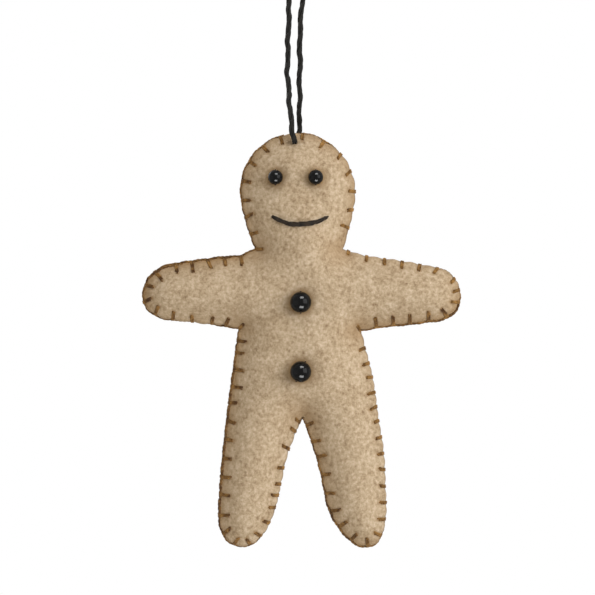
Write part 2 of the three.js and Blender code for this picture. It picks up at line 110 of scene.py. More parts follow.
def placeCamera():
    data = bpy.data.cameras.new("camera")
    data.sensor_width = cameraSet["sensor"]
    data.lens = cameraSet["sensor"] * cameraSet["distance"] / cameraSet["span"]
    camera = bpy.data.objects.new("camera", data)
    aim = Vector(cameraSet["aim"])
    camera.location = (aim + Vector((0, -cameraSet["distance"], 0))) * mm
    camera.rotation_euler = (math.pi / 2, 0, 0)
    scene.collection.objects.link(camera)
    scene.camera = camera


def placeLamps():
    aim = Vector(cameraSet["aim"])
    for name, lamp in lampSet.items():
        data = bpy.data.lights.new(name, "AREA")
        data.shape = "RECTANGLE"
        data.size, data.size_y = (side * mm for side in lamp["size"])
        data.energy = lamp["watts"]
        light = bpy.data.objects.new(name, data)
        at = Vector(lamp["at"])
        light.location = at * mm
        light.rotation_euler = (aim - at).to_track_quat("-Z", "Y").to_euler()
        light.visible_diffuse = not lamp["glintOnly"]
        scene.collection.objects.link(light)


def lookedAt(tree, share):
    # the share where the camera, a gloss or a glass looks straight at it, else nothing
    ray = addNode(tree, "ShaderNodeLightPath", {})
    seen = ray.outputs["Is Camera Ray"]
    for kind in ("Is Transmission Ray", "Is Glossy Ray"):
        either = addNode(tree, "ShaderNodeMath", {"operation": "MAXIMUM"},
                         [(0, seen), (1, ray.outputs[kind])])
        seen = either.outputs[0]
    return addNode(tree, "ShaderNodeMath", {"operation": "MULTIPLY", 1: share}, [(0, seen)]).outputs[0]


def lightWorld():
    # dim soft light all round, plain white to look at
    world = bpy.data.worlds.new("studio")
    world.use_nodes = True
    tree = world.node_tree
    tree.nodes.clear()
    dim = addNode(tree, "ShaderNodeBackground",
                  {"Color": linear(stageSet["ambientColour"]), "Strength": stageSet["ambient"]})
    white = addNode(tree, "ShaderNodeBackground", {"Color": (1, 1, 1, 1), "Strength": 1.0})
    sky = addNode(tree, "ShaderNodeMixShader", {},
                  [(0, lookedAt(tree, 1.0)), (1, dim.outputs[0]), (2, white.outputs[0])])
    addNode(tree, "ShaderNodeOutputWorld", {}, [("Surface", sky.outputs[0])])
    scene.world = world


def layFloor():
    # a pale board, most of it plain white to look at, so that only the shadow is left on it
    bm = bmesh.new()
    bmesh.ops.create_circle(bm, cap_ends=True, segments=stageSet["floorSides"],
                            radius=stageSet["floorReach"] * mm)
    bmesh.ops.translate(bm, verts=bm.verts, vec=(0, 0, stageSet["floorDrop"] * mm))
    floor = newObject("floor", bm)
    paint = bpy.data.materials.new("matt white board")
    paint.use_nodes = True
    tree = paint.node_tree
    shader = tree.nodes["Principled BSDF"]
    shader.inputs["Base Color"].default_value = linear(stageSet["floorColour"])
    shader.inputs["Roughness"].default_value = stageSet["floorRough"]
    white = addNode(tree, "ShaderNodeEmission", {"Color": (1, 1, 1, 1), "Strength": 1.0})
    shown = lookedAt(tree, stageSet["floorWhite"])
    board = addNode(tree, "ShaderNodeMixShader", {},
                    [(0, shown), (1, shader.outputs[0]), (2, white.outputs[0])])
    tree.links.new(board.outputs[0], tree.nodes["Material Output"].inputs["Surface"])
    floor.data.materials.append(paint)


placeCamera()
placeLamps()
lightWorld()
layFloor()
print("camera, lamps and floor placed")


# Materials

def startMaterial(name, sockets):
    # sockets: what is the same all over the surface
    material = bpy.data.materials.new(name)
    material.use_nodes = True
    tree = material.node_tree
    shader = tree.nodes["Principled BSDF"]
    for socket, value in sockets.items():
        shader.inputs[socket].default_value = value
    place = addNode(tree, "ShaderNodeTexCoord", {})
    inMm = addNode(tree, "ShaderNodeMapping", {"Scale": (1000, 1000, 1000)},
                   [("Vector", place.outputs["Object"])])
    return material, tree, shader, inMm.outputs["Vector"]


def setRamp(node, stops):
    ramp = node.color_ramp
    while len(ramp.elements) < len(stops):
        ramp.elements.new(0.5)
    for element, (position, colour) in zip(ramp.elements, stops):
        element.position = position
        element.color = linear(colour)


feltLook = {
    "stops": [(0.14, "#846a4f"), (0.4, "#b39d80"), (0.56, "#c5b094"), (0.84, "#e0cfb7")],
    "mottle": 1.0, "cloud": 4.5, "nap": 0.28,  # sizes in mm
    "cloudShare": 0.34, "napShare": 0.6, "toneFrom": 0.86, "toneTo": 1.84,
    # length, width and turn of each lot of fibres, and how much it shows
    "fibres": [(2.4, 0.36, 8, 0.2), (2.4, 0.36, -38, 0.2), (2.4, 0.36, 62, 0.2), (2.4, 0.36, 104, 0.2),
               (1.8, 0.12, 30, 0.14), (1.8, 0.12, -15, 0.14), (1.8, 0.12, 80, 0.14), (1.8, 0.12, 130, 0.14)],
    "lotAside": 17.0, "lotBehind": 5.0, "crinkle": 0.6,
    # the brown tint: part stain and part painted shade along the edge, and painted shade in the corners, at
    # the stitch feet and round the beads
    "stainAndShade": "#8e6732", "stainAndShadeGain": 2.0, "bump": 0.12, "bumpStrength": 0.7,
    "sockets": {"Roughness": 0.95, "Specular IOR Level": 0.06, "Sheen Weight": 0.15, "Sheen Roughness": 0.6,
                "Sheen Tint": linear("#e6d6ba")},
}


def makeFelt():
    # pressed wool felt: no weave, short fibres of several tans lying every way, dull with a soft sheen,
    # browner along the sewn edge, part stain and part painted shade, with painted shade in the corners,
    # at the feet of the stitches and round the beads; the fibres are drawn some ten times too thick, so that
    # they show
    look = feltLook
    material, tree, shader, inMm = startMaterial("heathered wool felt", look["sockets"])
    mottle = addNode(tree, "ShaderNodeTexNoise",
                     {"Scale": 1 / look["mottle"], "Detail": 3.0, "Roughness": 0.6}, [("Vector", inMm)])
    cloud = addNode(tree, "ShaderNodeTexNoise", {"Scale": 1 / look["cloud"], "Detail": 2.0},
                    [("Vector", inMm)])
    total = addNode(tree, "ShaderNodeMath", {"operation": "MULTIPLY_ADD", 1: look["cloudShare"]},
                    [(0, cloud.outputs[0]), (2, mottle.outputs[0])])
    for lot, (length, width, turn, share) in enumerate(look["fibres"]):
        lay = addNode(tree, "ShaderNodeMapping",
                      {"vector_type": "TEXTURE", "Rotation": (0, math.radians(turn), 0),
                       "Location": (look["lotAside"] * lot, look["lotBehind"] * lot, 0),
                       "Scale": (length, width, width)}, [("Vector", inMm)])
        fibre = addNode(tree, "ShaderNodeTexNoise",
                        {"Scale": 1.0, "Detail": 2.0, "Distortion": look["crinkle"]},
                        [("Vector", lay.outputs[0])])
        total = addNode(tree, "ShaderNodeMath", {"operation": "MULTIPLY_ADD", 1: share},
                        [(0, fibre.outputs[0]), (2, total.outputs[0])])
    even = addNode(tree, "ShaderNodeMapRange", {"From Min": look["toneFrom"], "From Max": look["toneTo"]},
                   [("Value", total.outputs[0])])
    tan = addNode(tree, "ShaderNodeValToRGB", {}, [("Fac", even.outputs[0])])
    setRamp(tan, look["stops"])
    # painted shade and edge stain, read from the mesh, mixed in as brown
    wearAndShade = addNode(tree, "ShaderNodeAttribute", {"attribute_name": "wearAndShade"})
    patchy = addNode(tree, "ShaderNodeMath", {"operation": "MULTIPLY"},
                     [(0, wearAndShade.outputs["Fac"]), (1, mottle.outputs[0])])
    patchy = addNode(tree, "ShaderNodeMath",
                     {"operation": "MULTIPLY", 1: look["stainAndShadeGain"], "use_clamp": True},
                     [(0, patchy.outputs[0])])
    tinted = addNode(tree, "ShaderNodeMix", {"data_type": "RGBA", 7: linear(look["stainAndShade"])},
                     [(0, patchy.outputs[0]), (6, tan.outputs[0])])
    tree.links.new(tinted.outputs[2], shader.inputs["Base Color"])
    nap = addNode(tree, "ShaderNodeTexNoise", {"Scale": 1 / look["nap"], "Detail": 3.0}, [("Vector", inMm)])
    height = addNode(tree, "ShaderNodeMath", {"operation": "MULTIPLY_ADD", 1: look["napShare"]},
                     [(0, nap.outputs[0]), (2, total.outputs[0])])
    bump = addNode(tree, "ShaderNodeBump", {"Strength": look["bumpStrength"], "Distance": look["bump"] * mm},
                   [("Height", height.outputs[0])])
    tree.links.new(bump.outputs[0], shader.inputs["Normal"])
    return material


yarnLook = {
    # tones, width of the hairs in mm, roughness and sheen
    "brown cotton thread":
        {"dark": "#523516", "pale": "#b1874b", "hair": 0.22, "rough": 0.8, "sheen": 0.05},
    "black cotton thread":
        {"dark": "#13100c", "pale": "#372a1c", "hair": 0.22, "rough": 0.8, "sheen": 0.04},
    "black waxed cotton cord":
        {"dark": "#090807", "pale": "#181610", "hair": 0.3, "rough": 0.7, "sheen": 0.02},
}
spinLook = {
    "patch": 1.6, "hairShare": 0.6, "crinkle": 1.2, "toneFrom": 0.5, "toneTo": 1.1, "darkAt": 0.1,
    "paleAt": 0.9, "bump": 0.04, "bumpStrength": 0.5, "specular": 0.12, "sheenRough": 0.5,
}


def makeYarn(name):
    # spun cotton: fine hairs along the twist, duller and darker as painted shade where it goes into the felt
    # and where the edge thread lies on the face; the hairs are drawn some ten times too thick, so that they
    # show
    look, spin = yarnLook[name], spinLook
    material, tree, shader, inMm = startMaterial(name, {
        "Roughness": look["rough"], "Specular IOR Level": spin["specular"], "Sheen Weight": look["sheen"],
        "Sheen Roughness": spin["sheenRough"]})
    patches = addNode(tree, "ShaderNodeTexNoise", {"Scale": 1 / spin["patch"], "Detail": 3.0},
                      [("Vector", inMm)])
    hairs = addNode(tree, "ShaderNodeTexNoise",
                    {"Scale": 1 / look["hair"], "Detail": 4.0, "Distortion": spin["crinkle"]},
                    [("Vector", inMm)])
    mixed = addNode(tree, "ShaderNodeMath", {"operation": "MULTIPLY_ADD", 1: spin["hairShare"]},
                    [(0, hairs.outputs[0]), (2, patches.outputs[0])])
    even = addNode(tree, "ShaderNodeMapRange", {"From Min": spin["toneFrom"], "From Max": spin["toneTo"]},
                   [("Value", mixed.outputs[0])])
    paintedShade = addNode(tree, "ShaderNodeAttribute", {"attribute_name": "wearAndShade"})
    shaded = addNode(tree, "ShaderNodeMath", {"operation": "SUBTRACT", "use_clamp": True},
                     [(0, even.outputs[0]), (1, paintedShade.outputs["Fac"])])
    tone = addNode(tree, "ShaderNodeValToRGB", {}, [("Fac", shaded.outputs[0])])
    setRamp(tone, [(spin["darkAt"], look["dark"]), (spin["paleAt"], look["pale"])])
    tree.links.new(tone.outputs[0], shader.inputs["Base Color"])
    bump = addNode(tree, "ShaderNodeBump", {"Strength": spin["bumpStrength"], "Distance": spin["bump"] * mm},
                   [("Height", hairs.outputs[0])])
    tree.links.new(bump.outputs[0], shader.inputs["Normal"])
    return material


acrylicLook = {
    "mark": 1.4, "stops": [(0.3, "#060606"), (0.75, "#100f0e")], "clean": 0.06, "smeared": 0.18,
    "sockets": {"IOR": 1.49, "Specular IOR Level": 0.12},
}


def makeAcrylic():
    # moulded and polished acrylic: near mirror gloss on black, with faint finger marks on it
    look = acrylicLook
    material, tree, shader, inMm = startMaterial("polished black acrylic", look["sockets"])
    marks = addNode(tree, "ShaderNodeTexNoise", {"Scale": 1 / look["mark"], "Detail": 4.0},
                    [("Vector", inMm)])
    tone = addNode(tree, "ShaderNodeValToRGB", {}, [("Fac", marks.outputs[0])])
    setRamp(tone, look["stops"])
    tree.links.new(tone.outputs[0], shader.inputs["Base Color"])
    gloss = addNode(tree, "ShaderNodeMapRange", {"To Min": look["clean"], "To Max": look["smeared"]},
                    [("Value", marks.outputs[0])])
    tree.links.new(gloss.outputs[0], shader.inputs["Roughness"])
    return material


fluffLook = {
    "fibre": 0.5, "crinkle": 2.0, "stops": [(0.3, "#cfcac0"), (0.7, "#f4f2ec")],
    "bump": 0.3, "bumpStrength": 0.8, "sockets": {"Roughness": 1.0, "Sheen Weight": 0.4},
}


def makeFluff():
    # polyester fibre filling: bright, soft, with fine crossing fibres, drawn coarse so that they show
    look = fluffLook
    material, tree, shader, inMm = startMaterial("white fibre filling", look["sockets"])
    fibres = addNode(tree, "ShaderNodeTexNoise",
                     {"Scale": 1 / look["fibre"], "Detail": 6.0, "Distortion": look["crinkle"]},
                     [("Vector", inMm)])
    tone = addNode(tree, "ShaderNodeValToRGB", {}, [("Fac", fibres.outputs[0])])
    setRamp(tone, look["stops"])
    tree.links.new(tone.outputs[0], shader.inputs["Base Color"])
    bump = addNode(tree, "ShaderNodeBump", {"Strength": look["bumpStrength"], "Distance": look["bump"] * mm},
                   [("Height", fibres.outputs[0])])
    tree.links.new(bump.outputs[0], shader.inputs["Normal"])
    return material


felt = makeFelt()
brownThread = makeYarn("brown cotton thread")
blackThread = makeYarn("black cotton thread")
waxedCord = makeYarn("black waxed cotton cord")
blackAcrylic = makeAcrylic()
filling = makeFluff()
print("materials made")


# Edge of the figure, read from the felt in the model: two points to every stitch, clockwise from
# the left of the neck

edgeSet = {
    "corners": (0, 30, 58, 104, 150), "steps": 8, "bulge": 0.34, "pull": 0.06, "wobble": 0.12,
    "start": (-10.9, -97.2), "seamBand": 0.16, "wallSlope": 0.2, "tangentSpan": 3,
    # stitch, and how far the hand-cut edge strays outwards there, in mm
    "stray": [(2, 0), (5, 0.4), (8, 0.5), (10, 0), (15, 0), (16, -0.5), (18, 0.2), (20, 0.3), (21.5, -0.2),
              (23, 0.1), (26, 0.6), (28, 0.3), (29, 0), (30, -0.4), (32, 0), (34, -0.4), (36, 0), (43, 0),
              (45.5, 0.6), (49, 0.2), (51, 0), (54, -0.4), (56, 0), (59.5, 0.3), (61, -0.1), (63, 0.2),
              (73, 0), (75, 0), (77, 0.2), (80, -0.1), (83, -0.4), (85, 0.2), (87, -0.2), (88, -1), (89, 0)],
    # stitch, and how far the edge thread lies over to the front there: 1 on the front, -1 tucked behind
    "lean": [(0, 0.35), (4, 0.3), (7.5, 0), (11, -0.35), (15, -0.35), (20, -0.5), (22.5, -0.2), (24.5, 0.7),
             (28, 0.75), (29.5, -0.4), (39, -0.6), (42.5, 0.1), (45, 0.6), (51, 0.6), (53, -0.4), (58, -0.5),
             (61, 0.1), (64, 0.9), (73, 0.7), (75, 0.3), (77, -0.3), (80, 0), (81.5, 0.6), (83, 1), (86, 0.7),
             (89, 0.35)],
    # stitch, and how brown the felt is along the edge there, part stain and part painted shade
    "brown": [(0, 0.7), (7, 0.55), (14, 0.55), (16, 0.25), (21, 0.25), (23, 0.7), (28, 0.7), (30, 0.25),
              (36, 0.2), (37, 0.05), (41, 0.1), (43, 0.7), (51, 0.7), (53, 0.15), (60, 0.2), (62, 0.3),
              (63.5, 0.8), (69, 0.9), (74, 1), (76, 0.3), (80, 0.3), (81, 1), (84, 1), (88, 0.9), (89, 0.7)],
    # stitch, and how far along the edge the hand set it from its even place, in stitches
    "shift": [(0, 0), (1, -0.2), (3, -0.45), (5, -0.4), (7, -0.35), (9, -0.1), (12, 0), (14, -0.1), (15, 0.4),
              (20, 0.45), (21, 0.6), (22, 0.3), (23, 0), (26, 0.2), (29, 0), (30, 0.15), (33, -0.15),
              (35, -0.4), (42, -0.35), (44, -0.1), (46, 0), (49, 0.4), (52, 0.4), (53, 0), (55, 0.3),
              (56, 0.3), (57, 0), (58, -0.25), (60, -0.3), (61, -0.5), (63, -0.55), (65, -0.15), (67, 0.05),
              (69, 0.4), (73, 0.5), (75, 0), (77, -0.35), (79, -0.1), (83, 0), (84, 0.3), (87, 0.15),
              (89, 0)],
}


def rimOf(node):
    # the points of the panel's edge where it meets the other panel
    bm = bmesh.new()
    bm.from_mesh(node.data)
    bmesh.ops.scale(bm, verts=bm.verts, vec=(1 / mm, 1 / mm, 1 / mm))
    bmesh.ops.remove_doubles(bm, verts=bm.verts, dist=1e-3)
    bm.normal_update()
    onSeam = {v for v in bm.verts if abs(v.co.y) < edgeSet["seamBand"]}
    beside = {v: [] for v in onSeam}
    for e in bm.edges:
        a, b = e.verts
        isWall = any(abs(f.normal.y) < edgeSet["wallSlope"] for f in e.link_faces)
        if isWall and a in onSeam and b in onSeam:
            beside[a].append(b)
            beside[b].append(a)
    startX, startZ = edgeSet["start"]
    start = min(onSeam, key=lambda v: (v.co.x - startX) ** 2 + (v.co.z - startZ) ** 2)
    loop = [start, max(beside[start], key=lambda v: v.co.z)]
    while loop[-1] is not start:
        loop.append(next(v for v in beside[loop[-1]] if v is not loop[-2]))
    points = np.array([(v.co.x, v.co.z) for v in loop[:-1]])
    bm.free()
    return points


def curveThrough(points, steps):
    # a smooth curve through the points, up to the last one but without it
    padded = np.vstack([2 * points[0] - points[1], points, 2 * points[-1] - points[-2]])
    t = np.linspace(0, 1, steps, endpoint=False)[:, None]
    curve = []
    for i in range(1, len(padded) - 2):
        a, b, c, d = padded[i - 1:i + 3]
        curve.append(b + 0.5 * t * (c - a + t * (2 * a - 5 * b + 4 * c - d + t * (3 * (b - c) + d - a))))
    return np.vstack(curve)


def smoothEdge(points, corners, steps):
    # one curve for each stretch between two corners
    ends = list(corners) + [corners[0] + len(points)]
    runs = [points[np.arange(first, last + 1) % len(points)] for first, last in zip(ends, ends[1:])]
    return np.vstack([curveThrough(run, steps) for run in runs])


def outwardOf(loop):
    span = edgeSet["tangentSpan"]
    along = np.roll(loop, -span, 0) - np.roll(loop, span, 0)
    along /= np.linalg.norm(along, axis=1)[:, None]
    return np.column_stack([-along[:, 1], along[:, 0]])


def listed(name, at):
    return np.interp(at, *zip(*edgeSet[name]))


rim = rimOf(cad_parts["front_panel"])
cutEdge = smoothEdge(rim, edgeSet["corners"], edgeSet["steps"])
edgeCount = len(cutEdge)
perStitch = 2 * edgeSet["steps"]
stitchCount = edgeCount // perStitch
atStitch = np.arange(edgeCount) / perStitch
cutEdge += outwardOf(cutEdge) * listed("stray", atStitch)[:, None]
outward = outwardOf(cutEdge)
lean = listed("lean", atStitch)

# the stitches' places by hand, and how far a point is from one: 1 midway between two, 0 at a stitch
evenPlace = np.arange(stitchCount + 1)
sewnPlace = evenPlace + listed("shift", evenPlace)
sewnIndex = np.rint(sewnPlace[:-1] * perStitch).astype(int) % edgeCount
between = 0.5 - 0.5 * np.cos(2 * math.pi * np.interp(atStitch, sewnPlace, evenPlace))

# the felt bulges between stitches and is pulled in at them, with a small wobble
wave = edgeSet["bulge"] * between - edgeSet["pull"]
wobble = chance.normal(0, edgeSet["wobble"], stitchCount)
wave += np.interp(atStitch, np.arange(stitchCount), wobble, period=stitchCount)
feltEdge = cutEdge + outward * wave[:, None]
print("edge of", edgeCount, "points and", stitchCount, "stitches")


# Sewing on the face: where stitches, beads, mouth and cord go through the felt

stitchSet = {
    "length": 2.0, "longer": 0.7, "shorter": 1.2, "lengthSpread": 0.2, "slant": 0.32, "atCorner": 0.7,
    # three strands: radius, its spread and swell, and how far they fan out at the foot and at the edge
    "strand": 0.21, "strandSpread": (0.88, 1.12), "swell": 0.2, "swells": 14, "foot": 0.27, "fan": 0.3,
    # shares of the way from the edge to the foot, how far a strand goes, how it rests and how deep it ends
    "shares": (1.02, 1.0, 0.82, 0.62, 0.44, 0.28, 0.15), "reach": (0.8, 1.12), "rest": 0.7, "sink": 1.2,
    "offFelt": 1.2, "turnOut": 0.06, "turnSide": 0.6, "overEdge": 0.18, "step": 0.22,
    # painted shade: darker where it goes in, more where the edge thread lies over to the front
    "deep": 0.35, "deeper": 0.4, "deepReach": 0.16,
}
beadSet = {
    # radius of the bore in mm, and its lean in degrees
    "left_eye": {"bore": 0.5, "lean": 0},
    "right_eye": {"bore": 0.5, "lean": 0},
    "upper_button": {"bore": 0.6, "lean": 0},
    "lower_button": {"bore": 0.6, "lean": 25},
}
mouthSet = {
    "middle": (1.1, -88.2), "halfWidth": 7.7, "sag": 2.3, "curl": 2.5, "stitches": 4, "overlap": 1.6,
    # each stitch dips into the felt at its ends and arches over it; neighbours lie a little apart
    "dip": 0.75, "arch": 0.98, "archShape": 0.45, "apart": 0.05, "points": 9, "step": 0.25,
    "thread": 0.68, "plies": 4, "plyReach": 0.5, "ply": 0.58, "pitch": 11, "wander": 0.12,
    "tip": 0.35, "taper": 0.4, "endSize": 0.8,
}
holeSet = {"at": (-0.4, -68.0), "depth": 0.9, "width": 1.0, "hold": 0.9}


def mouthAt(share):
    x, z = mouthSet["middle"]
    sag = mouthSet["sag"] * (1 - abs(share) ** mouthSet["curl"])
    return np.array([x + mouthSet["halfWidth"] * share, z - sag])


def tangentAt(at):
    return np.array([outward[at][1], -outward[at][0]])


def stitchLegs():
    # the place of each stitch on the edge, and of its foot
    steps = edgeSet["steps"]
    legs = []
    for at in sewnIndex:
        reach = stitchSet["length"] + chance.normal(0, stitchSet["lengthSpread"])
        reach += stitchSet["longer" if lean[at] > 0 else "shorter"] * lean[at]
        if any(abs(at - corner * steps) < steps for corner in edgeSet["corners"]):
            reach *= stitchSet["atCorner"]
        foot = feltEdge[at] - outward[at] * reach + tangentAt(at) * chance.normal(0, stitchSet["slant"])
        legs.append((feltEdge[at], foot))
    return legs


for name, bead in beadSet.items():
    low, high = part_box(name + "_bead")
    bead["centre"] = (low + high) / 2 / mm
    bead["radius"] = (high.y - low.y) / 2 / mm
    bead["onFace"] = np.array(bead["centre"])[[0, 2]]
legs = stitchLegs()


# Felt panels: one sheet each, blown up over the filling as cloth and held down where it is sewn

feltSet = {
    "thickness": 1.2, "seamGap": 0.15, "rise": 7.0, "crown": 5.7, "flatRim": 1.8, "edgeRound": 0.7,
    "rings": (0.14, 0.4, 0.75, 1.15, 1.6, 2.1, 2.7), "ringStep": 0.45, "fill": 0.66,
    # how near points may come: share of a ring's depth, mm, and shares of the two steps
    "ringClear": 0.85, "ringNearest": 0.2, "ringThin": 0.6, "fillNearest": 0.62,
    # how deep the sewing pulls, how wide, and how far round it the felt is held; a bead's in its radii
    "stitchDent": {"depth": 0.42, "width": 0.45, "hold": 0.4},
    "mouthDent": {"depth": 0.4, "width": 0.8, "hold": 0.45, "places": 41},
    "beadDent": {"depth": 1.25, "width": 1.25, "hold": 0.8, "room": 0.06},
    "rimHold": 0.5, "dentIn": 1.0, "slack": 0.35, "slackIn": 3.0,
    "plump": {"x": 5.0, "z": -96.0, "reach": 8.0, "height": 1.5, "in": 4.0},  # fuller right of the neck
    # how near counts as on the edge, and from how far off the face is looked for
    "onEdge": 0.01, "lookFrom": 40,
    "frames": 20, "cap": 0.7, "simScale": 10,
    "cloth": {"quality": 6, "mass": 0.3, "tension_stiffness": 18, "compression_stiffness": 18,
              "shear_stiffness": 8, "bending_stiffness": 3, "use_pressure": True,
              "uniform_pressure_force": 4.0},
}
wearAndShadeSet = {
    # how brown, part stain and part painted shade along the edge, painted shade in the corners, at the feet
    # and round the beads, and how far it reaches in mm
    "edgeReach": 1.4, "corner": 0.4, "cornerReach": 4.5, "foot": 0.85, "footReach": 0.6, "bead": 0.75,
    "beadReach": 0.8,
}


def nearest(points, targets):
    # which target is nearest to each point, and how far it is
    tree = kdtree.KDTree(len(targets))
    for i, (x, z) in enumerate(targets):
        tree.insert((x, z, 0), i)
    tree.balance()
    found = [tree.find((x, z, 0)) for x, z in points]
    return np.array([f[1] for f in found]), np.array([f[2] for f in found])


def awayFrom(points, place):
    return np.linalg.norm(points - np.asarray(place), axis=1)


def distanceTo(points, a, b):
    # from the line between a and b
    ab = b - a
    t = np.clip(((points - a) @ ab) / (ab @ ab), 0, 1)
    return np.linalg.norm(points - a - t[:, None] * ab, axis=1)


def isInside(points, loop):
    x, z = points[:, 0], points[:, 1]
    inside = np.zeros(len(points), bool)
    for (ax, az), (bx, bz) in zip(loop, np.roll(loop, -1, 0)):
        if az != bz:
            crosses = (az > z) != (bz > z)
            inside ^= crosses & (x < ax + (z - az) * (bx - ax) / (bz - az))
    return inside


def sheetPoints():
    # the edge, rings that follow it, then an even fill
    edge = feltEdge[::2]
    points = edge.copy()
    for ring in feltSet["rings"]:
        inner = (feltEdge - outward * ring)[::2]
        keep = isInside(inner, edge) & (nearest(inner, edge)[1] > ring * feltSet["ringClear"])
        keep &= nearest(inner, points)[1] > feltSet["ringNearest"]
        inner = inner[keep]
        apart = np.linalg.norm(inner - np.roll(inner, 1, 0), axis=1)
        points = np.vstack([points, inner[apart > feltSet["ringStep"] * feltSet["ringThin"]]])
    low, high = edge.min(0), edge.max(0)
    step = feltSet["fill"]
    fill = []
    for i, z in enumerate(np.arange(low[1], high[1], step * math.sqrt(0.75))):
        x = np.arange(low[0] + (i % 2) * step / 2, high[0], step)
        fill.append(np.column_stack([x, np.full(len(x), z)]))
    fill = np.vstack(fill)
    fill = fill[isInside(fill, edge)]
    fill = fill[nearest(fill, points)[1] > step * feltSet["fillNearest"]]
    return np.vstack([points, fill]), len(edge)


def makeSheet():
    points, rimCount = sheetPoints()
    pairs = [(i, (i + 1) % rimCount) for i in range(rimCount)]
    onlyInside, nearEnough = 1, 1e-5
    flat = geometry.delaunay_2d_cdt([Vector(p) for p in points], pairs, [list(range(rimCount))],
                                    onlyInside, nearEnough)
    return np.array([tuple(p) for p in flat[0]]), [list(f) for f in flat[2]]


def pillowDepth(points):
    # distance in from the edge, smoothed so that the felt crowns with no ridge
    steps = np.linalg.norm(np.roll(cutEdge, -1, 0) - cutEdge, axis=1)
    batch, closest = 1500, 0.02
    depth = np.empty(len(points))
    for i in range(0, len(points), batch):
        apart = np.linalg.norm(points[i:i + batch, None] - cutEdge[None], axis=2)
        depth[i:i + batch] = np.sqrt(2 / (steps / np.maximum(apart, closest) ** 3).sum(1))
    return depth


def plumpness(x, z):
    lump = feltSet["plump"]
    return lump["height"] * np.exp(-((x - lump["x"]) ** 2 + (z - lump["z"]) ** 2) / lump["reach"] ** 2)


def sewnDents(points, isFront):
    # how far the sewing pulls the felt in, and where it holds the felt
    pulls = [(distanceTo(points, edgePoint, foot), feltSet["stitchDent"]) for edgePoint, foot in legs]
    if isFront:
        mouth = feltSet["mouthDent"]
        pulls += [(awayFrom(points, mouthAt(share)), mouth) for share in np.linspace(-1, 1, mouth["places"])]
        pulls += [(awayFrom(points, bead["onFace"]) / bead["radius"], feltSet["beadDent"])
                  for bead in beadSet.values()]
    pulls.append((awayFrom(points, holeSet["at"]), holeSet))
    dent = np.zeros(len(points))
    hold = np.zeros(len(points))
    for apart, sewn in pulls:
        dent = np.maximum(dent, sewn["depth"] * np.exp(-(apart / sewn["width"]) ** 2))
        hold = np.maximum(hold, (apart < sewn["hold"]) * 1.0)
    return dent, hold


def blowUp(points, faces, height, hold):
    # cloth under pressure, in a larger copy, because the solver suits sheets of a metre or so
    scale = feltSet["simScale"]
    mesh = bpy.data.meshes.new("blown")
    mesh.from_pydata([(x * scale * mm, -y * scale * mm, z * scale * mm)
                      for (x, z), y in zip(points, height)], [], faces)
    blown = bpy.data.objects.new("blown", mesh)
    scene.collection.objects.link(blown)
    group = blown.vertex_groups.new(name="sewn")
    for i in np.flatnonzero(hold > 0):
        group.add([int(i)], float(hold[i]), "REPLACE")
    cloth = blown.modifiers.new("cloth", "CLOTH")
    cloth.settings.vertex_group_mass = "sewn"
    for setting, value in feltSet["cloth"].items():
        setattr(cloth.settings, setting, value)
    cloth.settings.effector_weights.gravity = 0
    cloth.collision_settings.use_collision = False
    cloth.point_cache.frame_start = 1
    cloth.point_cache.frame_end = feltSet["frames"]
    for moment in range(1, feltSet["frames"] + 1):
        scene.frame_set(moment)
    held = blown.evaluated_get(bpy.context.evaluated_depsgraph_get())
    result = np.empty(len(points) * 3)
    held.data.vertices.foreach_get("co", result)
    result = result.reshape(-1, 3) / scale / mm
    bpy.data.objects.remove(blown)
    scene.frame_set(1)
    moved = result - np.column_stack([points[:, 0], -height, points[:, 1]])
    length = np.linalg.norm(moved, axis=1)
    moved *= np.minimum(1, feltSet["cap"] / np.maximum(length, 1e-9))[:, None]
    print("  felt moved", round(float(length.mean()), 3), "mm, at most", round(float(length.max()), 3))
    return moved


def clearOfBeads(front):
    # felt under a bead lies against it, and never inside it
    for bead in beadSet.values():
        room = bead["radius"] + feltSet["beadDent"]["room"]
        away = awayFrom(front[:, [0, 2]], bead["onFace"])
        under = away < room
        deepest = bead["centre"].y + np.sqrt(room ** 2 - away[under] ** 2)
        front[under, 1] = np.maximum(front[under, 1], deepest)
    return front


def feltWearAndShade(points, beside, fromEdge, isFront):
    # browner along the edge, part stain and part painted shade, and painted shade in the corners, at each
    # foot of a stitch and round the beads
    wearAndShade = listed("brown", atStitch[beside]) * np.exp(-fromEdge / wearAndShadeSet["edgeReach"])
    for corner in edgeSet["corners"]:
        apart = awayFrom(points, rim[corner])
        wearAndShade = np.maximum(wearAndShade, wearAndShadeSet["corner"] * np.exp(-(apart / wearAndShadeSet["cornerReach"]) ** 2))
    for _, foot in legs:
        apart = awayFrom(points, foot)
        wearAndShade = np.maximum(wearAndShade, wearAndShadeSet["foot"] * np.exp(-(apart / wearAndShadeSet["footReach"]) ** 2))
    if isFront:
        for bead in beadSet.values():
            apart = np.maximum(0, awayFrom(points, bead["onFace"]) - bead["radius"])
            wearAndShade = np.maximum(wearAndShade, wearAndShadeSet["bead"] * np.exp(-apart / wearAndShadeSet["beadReach"]))
    return wearAndShade


